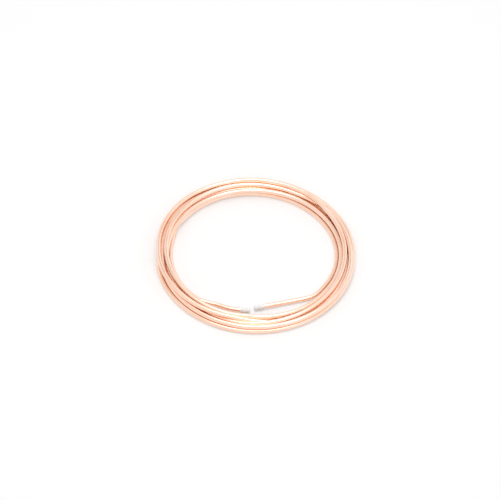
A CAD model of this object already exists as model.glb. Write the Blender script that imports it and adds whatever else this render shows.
"""A coil of soft copper tube lying flat, its two ends closed by push-on plastic caps.

Metres, Z up, the coil on Z = 0 and its free ends at the front, toward -Y.
"""

import math

import bmesh
import bpy
import numpy as np
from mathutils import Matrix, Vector


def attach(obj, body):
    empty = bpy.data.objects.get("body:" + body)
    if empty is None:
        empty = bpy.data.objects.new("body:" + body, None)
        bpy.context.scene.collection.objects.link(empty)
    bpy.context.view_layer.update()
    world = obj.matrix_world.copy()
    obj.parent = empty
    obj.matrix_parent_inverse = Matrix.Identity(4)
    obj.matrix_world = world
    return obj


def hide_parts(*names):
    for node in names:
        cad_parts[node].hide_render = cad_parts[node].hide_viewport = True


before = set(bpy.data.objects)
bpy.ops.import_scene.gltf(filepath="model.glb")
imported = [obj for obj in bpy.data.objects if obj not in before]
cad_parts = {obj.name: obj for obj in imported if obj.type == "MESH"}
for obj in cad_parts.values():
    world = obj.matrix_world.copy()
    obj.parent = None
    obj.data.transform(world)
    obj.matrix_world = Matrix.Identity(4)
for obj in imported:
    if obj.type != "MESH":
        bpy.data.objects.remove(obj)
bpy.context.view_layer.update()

# The copper tube: one length of quarter-inch soft copper, wound by hand into eight loose
# turns that lie beside and on each other. Nothing ties it, its own stiffness keeps it round,
# and its two ends come out at the front, inside the ring, and lie on the floor.
TUBE_RADIUS = 0.003175
TUBE_WALL = 0.00076
BORE_DEPTH = 0.016
TUBE_SIDES = 32
STEPS = 96  # stations round each turn
START_ANGLE = 267.0  # the turns are counted from the front, between the two ends
RIGHT_CUT, LEFT_CUT = 277.0, 258.0  # where the other turns stop meeting the ends
WIDEST, HIGHEST = 0.1283, 0.01765  # farthest that the tube's middle lies out and up

# How the turns settle: the number of rounds, how fast they sink, how strongly they keep to
# their places, how strongly they push apart, and how far along the tube they are evened out
SETTLING = 50
SINKING = 0.03
KEEPING = 0.12
PUSHING = 0.4
EVEN_UP, EVEN_ACROSS = 4, 2.5  # in stations

# The bundle from above, in millimetres: how far the middles of its innermost and outermost
# turns lie from the coil's middle, at the right, the back, the left and the front
INNERMOST = (114, 118, 121, 103)
OUTERMOST = (128, 128, 128, 128)
ASLANT = 4  # how far it is drawn out to the back left and the front right

# Each turn's place in the bundle at those four sides, 0 innermost and 1 outermost, and its
# place in the pile, 0 lowest, from the right-hand end on
LAY = [
    ((0.0, 0.1, 0.3, 0.1), 1),
    ((0.3, 0.4, 0.7, 0.4), 3),
    ((0.6, 0.9, 1.0, 0.8), 2),
    ((1.0, 1.0, 0.7, 1.0), 4),
    ((0.8, 0.5, 0.2, 0.6), 6),
    ((0.2, 0.0, 0.4, 0.1), 5),
    ((0.5, 0.8, 0.9, 0.7), 7),
    ((1.0, 0.6, 0.0, 0.0), 0),
]
TURN_JOIN = 60  # degrees over which one turn runs into the next
BEND = 0.009  # how softly each end leaves the ring for its straight run
FARTHEST_SLOPE = 0.2  # limits an end's line where it runs away from the coil

# Where each end starts to leave its turn, where it is then held to its own way, and where to
# the straight line through its cap: an angle, and the degrees that this takes
RIGHT_LEAVING, RIGHT_FREE, RIGHT_HELD = (365, 40), (330, 20), (300, 20)
LEFT_LEAVING, LEFT_FREE, LEFT_HELD = (535, 35), (575, 20), (596, 18)

# Where each end stops inside its cap, the way it points there, and its height
END_HEIGHT = 0.004175
RIGHT_TIP, RIGHT_HEADING = Vector((-0.0008, -0.08766, END_HEIGHT)), math.radians(193)
LEFT_TIP, LEFT_HEADING = Vector((-0.0085, -0.09259, END_HEIGHT)), math.radians(353)

angle = START_ANGLE + 360.0 * np.arange(STEPS) / STEPS
along = 360.0 * np.arange(STEPS) / STEPS
turn_count = len(LAY)


def ease(x):
    """0 below 0, 1 above 1, and a smooth rise between."""
    x = np.clip(x, 0.0, 1.0)
    return x * x * (3 - 2 * x)


def round_the_coil(right, back, left, front):
    """An even curve round the coil through its values at the four sides."""
    t = np.radians(angle)
    even = (right + back + left + front) / 4
    aside = (right - left) / 2 * np.cos(t) + (back - front) / 2 * np.sin(t)
    return even + aside + (right + left - back - front) / 4 * np.cos(2 * t)


def turn_radius(places):
    """Distance from the coil's middle, at each station, of a turn with these places."""
    inner, outer = round_the_coil(*INNERMOST), round_the_coil(*OUTERMOST)
    drawn = ASLANT * np.sin(2 * np.radians(angle))
    return (inner + (outer - inner) * round_the_coil(*places) - drawn) / 1000


def straight_end(tip, heading):
    """Distance from the coil's middle, at each station, of the line that an end runs along."""
    normal = Vector((-math.sin(heading), math.cos(heading), 0))
    aside = np.radians(angle) - math.atan2(normal.y, normal.x)
    return abs(tip.dot(normal)) / np.maximum(np.abs(np.cos(aside)), FARTHEST_SLOPE)


def bent_in(line, ring):
    """The lesser of two distances, with an even bend where one takes over from the other."""
    return -BEND * np.logaddexp(-line / BEND, -ring / BEND)


def share_before(limit):
    """How far an end has changed over at each station, going back past an angle."""
    start, over = limit
    return ease((start - angle) / over)


def share_after(limit):
    """How far an end has changed over at each station, going on past an angle."""
    start, over = limit
    return ease((angle - start) / over)


own = np.array([turn_radius(places) for places, _ in LAY])
right_way = bent_in(straight_end(RIGHT_TIP, RIGHT_HEADING), own[0])
left_way = bent_in(straight_end(LEFT_TIP, LEFT_HEADING), own[-1])


def wound_plan():
    """The turns from above, each run into the next, and the first and last into the ends."""
    plan = own.copy()
    after = 0.5 + 0.5 * ease(along / TURN_JOIN)
    before = 0.5 + 0.5 * ease((360 - along) / TURN_JOIN)
    for k in range(1, turn_count):
        mixed = after * own[k] + (1 - after) * own[k - 1]
        plan[k] = np.where(along < TURN_JOIN, mixed, plan[k])
        mixed = before * own[k - 1] + (1 - before) * own[k]
        plan[k - 1] = np.where(along > 360 - TURN_JOIN, mixed, plan[k - 1])
    plan[0] += (right_way - plan[0]) * share_before(RIGHT_LEAVING)
    plan[-1] += (left_way - plan[-1]) * share_after(LEFT_LEAVING)
    return plan


there = np.ones((turn_count, STEPS), bool)
there[0, angle < RIGHT_CUT] = False
there[-1, angle > LEFT_CUT + 360] = False
first = int(np.argmax(there.ravel()))
last = there.size - int(np.argmax(there.ravel()[::-1]))


def even_out(grid, width):
    """Smooth a value along the whole tube, from turn to turn."""
    n = int(3 * width) + 1
    kernel = np.exp(-0.5 * (np.arange(-n, n + 1) / width) ** 2)
    run = grid.ravel()[first:last]
    padded = np.concatenate([np.full(n, run[0]), run, np.full(n, run[-1])])
    evened = grid.copy()
    evened.ravel()[first:last] = np.convolve(padded, kernel / kernel.sum(), "valid")
    return evened


def lie_down(plan):
    """Drop the turns on the floor and on each other, then let them ease and sink."""
    pitch = 2 * TUBE_RADIUS
    radius, height = plan.copy(), np.full(plan.shape, TUBE_RADIUS)
    order = np.argsort([pile for _, pile in LAY])
    for n, k in enumerate(order):
        for j in order[:n]:
            beside = np.abs(radius[k] - radius[j])
            on_it = height[j] + np.sqrt(np.maximum(pitch**2 - beside**2, 0))
            height[k] = np.maximum(height[k], np.where((beside < pitch) & there[j], on_it, 0))
    one, other = np.triu_indices(turn_count, 1)
    both = there[one] & there[other]
    turned = np.radians(angle)
    reach = WIDEST / np.maximum(np.abs(np.cos(turned)), np.abs(np.sin(turned)))
    for step in range(SETTLING):
        done = step / SETTLING
        sunk = 1 - SINKING * (1 - 0.5 * done)
        height = TUBE_RADIUS + (even_out(height, EVEN_UP * (1 - 0.5 * done)) - TUBE_RADIUS) * sunk
        kept = KEEPING * (1 - done) * (plan - radius)
        radius = even_out(radius + kept, EVEN_ACROSS)
        for _ in range(2):
            across, up = radius[one] - radius[other], height[one] - height[other]
            apart = np.hypot(across, up) + 1e-9
            push = PUSHING * np.where(both, np.maximum(pitch - apart, 0), 0) / apart
            for sign, turn in ((1, one), (-1, other)):
                np.add.at(radius, turn, sign * push * across)
                np.add.at(height, turn, sign * push * up)
            height = np.clip(height, TUBE_RADIUS, HIGHEST)
            radius = np.minimum(radius, reach)
    return radius, height


def end_points(tip, heading, *back):
    """Points on an end's straight run, at these distances back from its tip."""
    way = Vector((math.cos(heading), math.sin(heading), 0))
    return [tuple(tip - way * d) for d in back]


radius, height = lie_down(wound_plan())
for turn, way, share, free, held, tip, heading in (
    (0, right_way, share_before, RIGHT_FREE, RIGHT_HELD, RIGHT_TIP, RIGHT_HEADING),
    (-1, left_way, share_after, LEFT_FREE, LEFT_HELD, LEFT_TIP, LEFT_HEADING),
):
    radius[turn] += (way - radius[turn]) * share(free)
    radius[turn] += (straight_end(tip, heading) - radius[turn]) * share(held)
    height[turn] += (END_HEIGHT - height[turn]) * share(held)
turn_angle = np.radians(angle)
places = np.stack([radius * np.cos(turn_angle), radius * np.sin(turn_angle), height], axis=-1)
wound = places.reshape(-1, 3)[first:last]
route = np.concatenate(
    [
        end_points(RIGHT_TIP, RIGHT_HEADING, 0, 0.005, 0.009),
        wound,
        end_points(LEFT_TIP, LEFT_HEADING, 0.009, 0.005, 0),
    ]
)

line = bpy.data.curves.new("copper_tube_line", "CURVE")
line.dimensions = "3D"
spline = line.splines.new("NURBS")
spline.points.add(len(route) - 1)
spline.points.foreach_set("co", np.column_stack([route, np.ones(len(route))]).ravel())
spline.order_u = 4
spline.use_endpoint_u = True
spline.resolution_u = 3
copper_tube = bpy.data.objects.new("copper_tube_wound", line)
bpy.context.scene.collection.objects.link(copper_tube)

# Bright soft copper: fine lines along it from the drawing die, a faint tarnish in cloudy
# patches, and a few duller marks where it has been handled
copper = bpy.data.materials.new("soft_copper")
copper.use_nodes = True
nodes, links = copper.node_tree.nodes, copper.node_tree.links
metal = nodes["Principled BSDF"]
metal.inputs["Metallic"].default_value = 1.0


def textured(kind, coordinates, scale, **values):
    """A texture node on these coordinates, scaled on each axis, in the tree being built."""
    place = nodes.new("ShaderNodeTexCoord")
    mapping = nodes.new("ShaderNodeMapping")
    mapping.inputs["Scale"].default_value = scale
    links.new(place.outputs[coordinates], mapping.inputs["Vector"])
    texture = nodes.new(kind)
    links.new(mapping.outputs["Vector"], texture.inputs["Vector"])
    for name, value in values.items():
        texture.inputs[name].default_value = value
    return texture


def ramp(source, *stops):
    """A colour ramp over a texture's value, with stops as (place, colour)."""
    made = nodes.new("ShaderNodeValToRGB")
    links.new(source, made.inputs["Fac"])
    while len(made.color_ramp.elements) < len(stops):
        made.color_ramp.elements.new(0.5)
    for element, (place, colour) in zip(made.color_ramp.elements, stops):
        element.position = place
        element.color = (*colour, 1) if isinstance(colour, tuple) else (colour,) * 3 + (1,)
    return made.outputs["Color"]


def combined(kind, one, other, share=1.0):
    """Two colours mixed by this blend."""
    mix = nodes.new("ShaderNodeMix")
    mix.data_type = "RGBA"
    mix.blend_type = kind
    mix.inputs["Factor"].default_value = share
    links.new(one, mix.inputs["A"])
    links.new(other, mix.inputs["B"])
    return mix.outputs["Result"]


def raised(source, height, into=None):
    """A bump of this height in metres from a value, on top of another bump if one is given."""
    bump = nodes.new("ShaderNodeBump")
    bump.inputs["Distance"].default_value = height
    links.new(source, bump.inputs["Height"])
    if into:
        links.new(into, bump.inputs["Normal"])
    return bump.outputs["Normal"]


clouds = textured("ShaderNodeTexNoise", "Object", (22, 22, 22), Scale=1.0, Detail=4.0)
marks = textured("ShaderNodeTexNoise", "Object", (210, 210, 210), Scale=1.0, Detail=3.0)
drawn = textured("ShaderNodeTexNoise", "UV", (46, 0.5, 1), Scale=1.0, Detail=3.0)
scuffs = textured("ShaderNodeTexNoise", "UV", (9, 2.2, 1), Scale=1.0, Detail=6.0)
tone = ramp(clouds.outputs["Fac"], (0.35, (0.97, 0.67, 0.52)), (0.68, (0.99, 0.735, 0.61)))
spots = ramp(marks.outputs["Fac"], (0.30, (0.96, 0.88, 0.85)), (0.42, (1.0, 1.0, 1.0)))
streaks = ramp(drawn.outputs["Fac"], (0.36, (0.98, 0.93, 0.90)), (0.56, (1.0, 1.0, 1.0)))
tone = combined("MULTIPLY", tone, spots, 0.6)
links.new(combined("MULTIPLY", tone, streaks, 0.8), metal.inputs["Base Color"])
dull = ramp(scuffs.outputs["Fac"], (0.40, 0.14), (0.72, 0.26))
lined = ramp(drawn.outputs["Fac"], (0.30, 1.25), (0.60, 0.95))
links.new(combined("MULTIPLY", dull, lined), metal.inputs["Roughness"])
dents = textured("ShaderNodeTexNoise", "Object", (70, 70, 70), Scale=1.0, Detail=1.0)
surface = raised(drawn.outputs["Fac"], 0.000005)
links.new(raised(dents.outputs["Fac"], 0.00006, surface), metal.inputs["Normal"])


def tube_tree():
    """Nodes that sweep a round section along the tube's line, with a map of its surface."""
    tree = bpy.data.node_groups.new("swept_tube", "GeometryNodeTree")
    face, node, link = tree.interface, tree.nodes.new, tree.links.new
    face.new_socket("Geometry", in_out="INPUT", socket_type="NodeSocketGeometry")
    for name, kind in (("Radius", "Float"), ("Sides", "Int"), ("Finish", "Material")):
        face.new_socket(name, in_out="INPUT", socket_type="NodeSocket" + kind)
    face.new_socket("Geometry", in_out="OUTPUT", socket_type="NodeSocketGeometry")
    put_in, put_out = node("NodeGroupInput"), node("NodeGroupOutput")

    def captured(geometry, source, name):
        """Keep a spline's own measure as a value that the swept mesh can read."""
        keep = node("GeometryNodeCaptureAttribute")
        keep.capture_items.new("FLOAT", name)
        link(geometry, keep.inputs["Geometry"])
        link(source, keep.inputs[name])
        return keep.outputs["Geometry"], keep.outputs[name]

    measure = node("GeometryNodeSplineParameter")
    run, distance = captured(put_in.outputs["Geometry"], measure.outputs["Length"], "distance")
    section = node("GeometryNodeCurveArc")
    section.inputs["Sweep Angle"].default_value = 2 * math.pi
    link(put_in.outputs["Sides"], section.inputs["Resolution"])
    link(put_in.outputs["Radius"], section.inputs["Radius"])
    girth = node("GeometryNodeSplineParameter")
    ring, around = captured(section.outputs["Curve"], girth.outputs["Factor"], "around")
    sweep = node("GeometryNodeCurveToMesh")
    link(run, sweep.inputs["Curve"])
    link(ring, sweep.inputs["Profile Curve"])
    turns_long = node("ShaderNodeMath")
    turns_long.operation = "DIVIDE"
    turns_long.inputs[1].default_value = 2 * math.pi * TUBE_RADIUS
    link(distance, turns_long.inputs[0])
    place = node("ShaderNodeCombineXYZ")
    link(around, place.inputs["X"])
    link(turns_long.outputs[0], place.inputs["Y"])
    store = node("GeometryNodeStoreNamedAttribute")
    store.data_type = "FLOAT2"
    store.domain = "CORNER"
    store.inputs["Name"].default_value = "UVMap"
    link(sweep.outputs["Mesh"], store.inputs["Geometry"])
    link(place.outputs["Vector"], store.inputs["Value"])
    merge = node("GeometryNodeMergeByDistance")
    merge.inputs["Distance"].default_value = 0.000005
    link(store.outputs["Geometry"], merge.inputs["Geometry"])
    smooth = node("GeometryNodeSetShadeSmooth")
    link(merge.outputs["Geometry"], smooth.inputs["Geometry"])
    real = node("GeometryNodeRealizeInstances")
    link(smooth.outputs["Geometry"], real.inputs["Geometry"])
    finish = node("GeometryNodeSetMaterial")
    link(real.outputs["Geometry"], finish.inputs["Geometry"])
    link(put_in.outputs["Finish"], finish.inputs["Material"])
    link(finish.outputs["Geometry"], put_out.inputs["Geometry"])
    return tree


def made_by(obj, tree, **inputs):
    """Run a node tree on an object and keep the result as a plain mesh object of its name."""
    modifier = obj.modifiers.new("made", "NODES")
    modifier.node_group = tree
    for item in tree.interface.items_tree:
        if item.item_type == "SOCKET" and item.in_out == "INPUT" and item.name in inputs:
            modifier[item.identifier] = inputs[item.name]
    bpy.context.view_layer.update()
    shape = obj.evaluated_get(bpy.context.evaluated_depsgraph_get())
    mesh = bpy.data.meshes.new_from_object(shape)
    name = obj.name
    bpy.data.objects.remove(obj)
    made = bpy.data.objects.new(name, mesh)
    bpy.context.scene.collection.objects.link(made)
    return made


def cut_bores(mesh, tips):
    """Give each open end its rim and its bore, closed a little way in."""
    near, sharp = 0.005, math.radians(50)
    shell = bmesh.new()
    shell.from_mesh(mesh)
    for tip, heading in tips:
        inward = -Vector((math.cos(heading), math.sin(heading), 0))
        across = Vector((-math.sin(heading), math.cos(heading), 0))
        rim = [v for v in shell.verts if v.is_boundary and (v.co - tip).length < near]
        rim.sort(key=lambda v: math.atan2(v.co.z - tip.z, (v.co - tip).dot(across)))
        share = 1 - TUBE_WALL / TUBE_RADIUS
        for moved, narrowed in ((0, share), (BORE_DEPTH, 1)):
            ring = []
            for corner in rim:
                place = tip + (corner.co - tip) * narrowed + inward * moved
                ring.append(shell.verts.new(place))
            for i in range(len(rim)):
                j = (i + 1) % len(rim)
                shell.faces.new((rim[i], rim[j], ring[j], ring[i]))
            rim = ring
        shell.faces.new(rim)
    bmesh.ops.recalc_face_normals(shell, faces=shell.faces)
    for face in shell.faces:
        face.smooth = True
        face.material_index = 0
    for edge in shell.edges:
        edge.smooth = edge.is_boundary or edge.calc_face_angle(0) < sharp
    shell.to_mesh(mesh)
    shell.free()


copper_tube = made_by(
    copper_tube, tube_tree(), Radius=TUBE_RADIUS, Sides=TUBE_SIDES + 1, Finish=copper
)
cut_bores(copper_tube.data, ((RIGHT_TIP, RIGHT_HEADING), (LEFT_TIP, LEFT_HEADING)))
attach(copper_tube, "root")
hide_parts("copper_tube")

# The end caps: cups of soft white plastic, moulded in one piece, pushed over the tube's two
# ends to keep dirt out. They grip the tube by their own stretch.
CAP_GRIP = 0.0115
CAP_SIDES = 48
# The moulding's outline in millimetres, as distance from the mouth and from the axis: up the
# inside from the floor of the cup, round the lip, along the outside, over the rounded end to
# the gate mark in its middle
CAP_OUTLINE = [
    (11.5, 0.0),
    (11.5, 2.9),
    (11.3, 3.19),
    (0.5, 3.2),
    (0.15, 3.28),
    (0.0, 3.5),
    (0.0, 3.86),
    (0.12, 4.07),
    (0.4, 4.17),
    (1.0, 4.16),
    (1.35, 4.06),
    (1.6, 4.0),
    (6.0, 3.97),
    (11.0, 3.93),
    (11.7, 3.85),
    (12.2, 3.62),
    (12.55, 3.2),
    (12.7, 2.7),
    (12.7, 1.0),
    (12.66, 0.8),
    (12.45, 0.6),
    (12.42, 0.0),
]

plastic = bpy.data.materials.new("white_plastic")
plastic.use_nodes = True
nodes, links = plastic.node_tree.nodes, plastic.node_tree.links
skin = nodes["Principled BSDF"]
skin.inputs["Subsurface Weight"].default_value = 0.25
skin.inputs["Subsurface Radius"].default_value = (0.003, 0.0025, 0.002)
skin.inputs["Subsurface Scale"].default_value = 1.0
grain = textured("ShaderNodeTexNoise", "Object", (900, 900, 900), Scale=1.0, Detail=4.0)
smudge = textured("ShaderNodeTexNoise", "Object", (160, 160, 160), Scale=1.0, Detail=3.0)
links.new(
    ramp(smudge.outputs["Fac"], (0.3, (0.94, 0.925, 0.915)), (0.6, (0.975, 0.965, 0.96))),
    skin.inputs["Base Color"],
)
links.new(ramp(grain.outputs["Fac"], (0.3, 0.36), (0.7, 0.5)), skin.inputs["Roughness"])
links.new(raised(grain.outputs["Fac"], 0.00002), skin.inputs["Normal"])


def turned_cap(name, tip, heading):
    """The cap over the tube end whose tip and heading these are."""
    way = Vector((math.cos(heading), math.sin(heading), 0))
    side, up = Vector((-way.y, way.x, 0)), Vector((0, 0, 1))
    mouth = tip - way * CAP_GRIP
    cup = bmesh.new()
    rings = []
    for ahead, out in CAP_OUTLINE:
        centre = mouth + way * ahead / 1000
        if out == 0:
            rings.append([cup.verts.new(centre)] * CAP_SIDES)
            continue
        turned = [2 * math.pi * i / CAP_SIDES for i in range(CAP_SIDES)]
        rings.append(
            [
                cup.verts.new(centre + (side * math.cos(a) + up * math.sin(a)) * out / 1000)
                for a in turned
            ]
        )
    for ring, following in zip(rings, rings[1:]):
        for i in range(CAP_SIDES):
            j = (i + 1) % CAP_SIDES
            corners = [ring[i], ring[j], following[j], following[i]]
            cup.faces.new(list(dict.fromkeys(corners)))
    bmesh.ops.recalc_face_normals(cup, faces=cup.faces)
    for face in cup.faces:
        face.smooth = True
    mesh = bpy.data.meshes.new(name)
    cup.to_mesh(mesh)
    cup.free()
    mesh.materials.append(plastic)
    cap = bpy.data.objects.new(name, mesh)
    bpy.context.scene.collection.objects.link(cap)
    return cap


for side, tip, heading in (
    ("left", LEFT_TIP, LEFT_HEADING),
    ("right", RIGHT_TIP, RIGHT_HEADING),
):
    cap = turned_cap("moulded_cap_" + side, tip, heading)
    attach(cap, "root")
    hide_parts("end_cap_" + side)

# The stage: a pale floor in an even white tent, a little brighter overhead and to the right,
# with a darker band at the height from which the coil is seen, and one soft lamp above
FLOOR_TONE = 0.72
FLOOR_GLOW = 0.28  # what the camera and reflections see on top, so that the floor reads white
TENT_LIGHT = 0.78
floor_mesh = bpy.data.meshes.new("floor")
floor_mesh.from_pydata([(-6, -6, 0), (6, -6, 0), (6, 6, 0), (-6, 6, 0)], [], [(0, 1, 2, 3)])
floor = bpy.data.objects.new("floor", floor_mesh)
bpy.context.scene.collection.objects.link(floor)


def sum_of(*values):
    """The sum of values that are each 0 or 1 and never 1 together."""
    total = values[0]
    for value in values[1:]:
        add = nodes.new("ShaderNodeMath")
        links.new(total, add.inputs[0])
        links.new(value, add.inputs[1])
        total = add.outputs[0]
    return total


paper = bpy.data.materials.new("pale_floor")
paper.use_nodes = True
nodes, links = paper.node_tree.nodes, paper.node_tree.links
nodes.clear()
lit = nodes.new("ShaderNodeBsdfDiffuse")
lit.inputs["Color"].default_value = (FLOOR_TONE, FLOOR_TONE, FLOOR_TONE, 1)
glow = nodes.new("ShaderNodeEmission")
glow.inputs["Color"].default_value = (FLOOR_GLOW, FLOOR_GLOW, FLOOR_GLOW, 1)
rays = nodes.new("ShaderNodeLightPath").outputs
shown = sum_of(rays["Is Camera Ray"], rays["Is Glossy Ray"], rays["Is Transmission Ray"])
links.new(shown, glow.inputs["Strength"])
both = nodes.new("ShaderNodeAddShader")
links.new(lit.outputs[0], both.inputs[0])
links.new(glow.outputs[0], both.inputs[1])
out = nodes.new("ShaderNodeOutputMaterial")
links.new(both.outputs[0], out.inputs["Surface"])
floor_mesh.materials.append(paper)

tent = bpy.data.worlds.new("tent")
bpy.context.scene.world = tent
tent.use_nodes = True
nodes, links = tent.node_tree.nodes, tent.node_tree.links
toward = nodes.new("ShaderNodeSeparateXYZ")
links.new(nodes.new("ShaderNodeTexCoord").outputs["Generated"], toward.inputs[0])
rising = ramp(toward.outputs["Z"], (0.60, 1.12), (0.72, 0.76), (0.78, 0.76), (0.88, 1.32))
across = nodes.new("ShaderNodeMapRange")
across.inputs["From Min"].default_value = -1.0
links.new(toward.outputs["X"], across.inputs["Value"])
sideways = ramp(across.outputs["Result"], (0.25, 0.94), (0.75, 1.06))
rays = nodes.new("ShaderNodeLightPath").outputs
tent_light = nodes.new("ShaderNodeRGB").outputs[0]
tent_light.default_value = (TENT_LIGHT, TENT_LIGHT, TENT_LIGHT, 1)
white = nodes.new("ShaderNodeRGB").outputs[0]
white.default_value = (1, 1, 1, 1)
reflected = combined("MIX", tent_light, combined("MULTIPLY", rising, sideways))
shiny = sum_of(rays["Is Glossy Ray"], rays["Is Transmission Ray"])
links.new(shiny, reflected.node.inputs["Factor"])
seen = combined("MIX", reflected, white)
links.new(rays["Is Camera Ray"], seen.node.inputs["Factor"])
links.new(seen, nodes["Background"].inputs["Color"])

lamp_data = bpy.data.lights.new("lamp_above", "AREA")
lamp_data.size = 0.9
lamp_data.energy = 7
lamp = bpy.data.objects.new("lamp_above", lamp_data)
lamp.location = (0, 0, 1.6)
bpy.context.scene.collection.objects.link(lamp)

# The camera: a long lens, 48 degrees above the floor, straight from the front, aimed a little
# beside the coil's middle
ELEVATION = math.radians(48.4)
DISTANCE = 16.0
VIEW_WIDTH = 0.6625  # what the frame takes in at the coil
MIDDLE = Vector((0, 0, 0.0104))
AIM_ASIDE, AIM_ABOVE = -0.0073, 0.0068
camera_data = bpy.data.cameras.new("camera")
camera_data.sensor_width = 36.0
camera_data.lens = camera_data.sensor_width * DISTANCE / VIEW_WIDTH
camera_data.clip_end = 50.0
camera = bpy.data.objects.new("camera", camera_data)
back = Vector((0, -math.cos(ELEVATION), math.sin(ELEVATION)))
up = Vector((0, math.sin(ELEVATION), math.cos(ELEVATION)))
aim = MIDDLE + Vector((AIM_ASIDE, 0, 0)) + up * AIM_ABOVE
camera.location = aim + back * DISTANCE
camera.rotation_euler = back.to_track_quat("Z", "Y").to_euler()
bpy.context.scene.collection.objects.link(camera)
bpy.context.scene.camera = camera

bpy.context.scene.view_settings.view_transform = "Standard"
